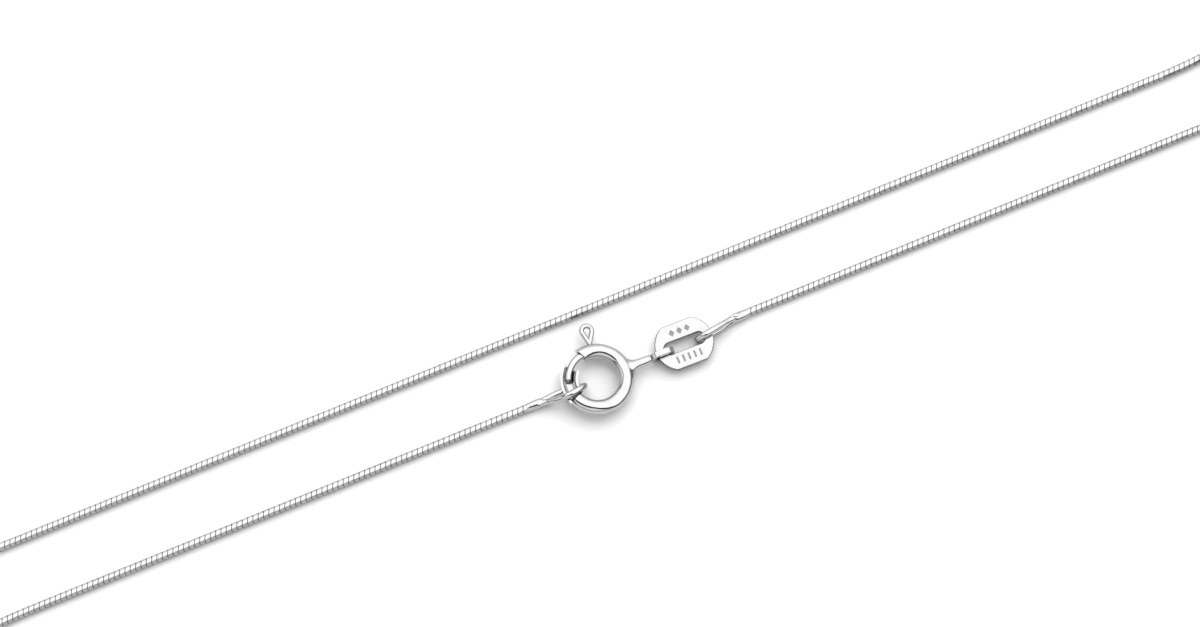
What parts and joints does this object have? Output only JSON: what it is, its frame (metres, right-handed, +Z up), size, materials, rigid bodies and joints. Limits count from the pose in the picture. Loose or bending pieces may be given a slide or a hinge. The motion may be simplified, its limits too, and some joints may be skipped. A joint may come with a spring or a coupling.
{
  "type": "snake chain necklace with spring ring clasp",
  "caption": "Fine closed snake chain necklace lying on a surface, with a spring ring clasp, end caps with wire loops and a slotted tag.",
  "frame": {"origin": "on the surface that the necklace lies on, under the middle of its outline", "axes": "+X along the necklace from the clasp towards the tag, +Y across it from the clasp strand to the plain strand, +Z up"},
  "size_m": [0.2108, 0.0282, 0.0021],
  "materials": {
    "chain_silver": "polished, facets of a snake chain",
    "polished_silver": "polished",
    "tag_silver": "polished flat plate with shallow marks"
  },
  "bodies": {
    "necklace": {"chain": "chain_silver", "cap_clasp_side": "polished_silver", "clasp_case": "polished_silver", "tag": "tag_silver", "cap_tag_side": "polished_silver"},
    "bolt": {"clasp_bolt": "polished_silver"}
  },
  "joints": [
    {"name": "bolt_retract", "type": "hinge", "parent": "necklace", "child": "bolt", "pos_m": [-0.00247, -0.00319, 0.0011], "axis": [-0.0488, 0.0005, -0.9988], "range_deg": [0, 54], "stiffness_Nm_per_rad": 0.002, "springref_deg": -11.46}
  ]
}
